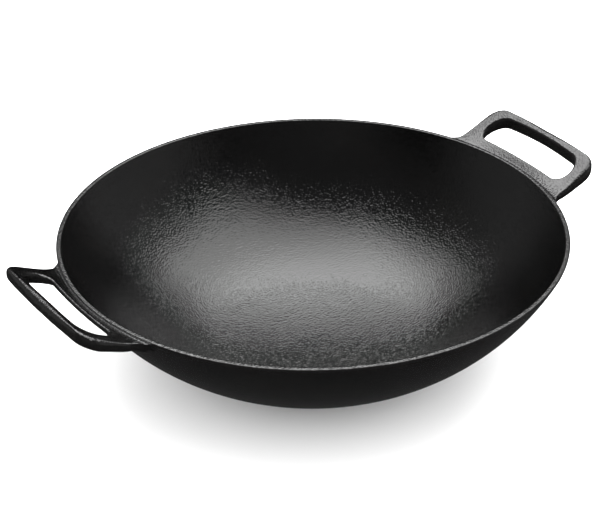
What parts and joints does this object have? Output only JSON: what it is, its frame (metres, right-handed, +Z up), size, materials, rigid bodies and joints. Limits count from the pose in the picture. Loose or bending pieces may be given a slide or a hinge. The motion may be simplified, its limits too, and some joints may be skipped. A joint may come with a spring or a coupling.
{
  "type": "wok",
  "caption": "Deep round-bottomed cast iron wok with a flat base, a rounded rim and two opposed loop handles that slope up from the rim, with finger openings.",
  "frame": {"origin": "middle of the flat base, on the surface it rests on", "axes": "+X through the middle of the right handle, +Y across the bowl, +Z up"},
  "size_m": [0.4338, 0.3606, 0.1126],
  "materials": {
    "seasoned_iron": "seasoned black casting with a fine pebbled skin and a satin oil sheen"
  },
  "bodies": {
    "root": {"bowl_floor": "seasoned_iron", "bowl_wall": "seasoned_iron", "bowl_rim": "seasoned_iron", "right_handle_web": "seasoned_iron", "right_handle_front_arm": "seasoned_iron", "right_handle_rear_arm": "seasoned_iron", "right_handle_grip": "seasoned_iron", "left_handle_web": "seasoned_iron", "left_handle_front_arm": "seasoned_iron", "left_handle_rear_arm": "seasoned_iron", "left_handle_grip": "seasoned_iron"}
  },
  "joints": []
}
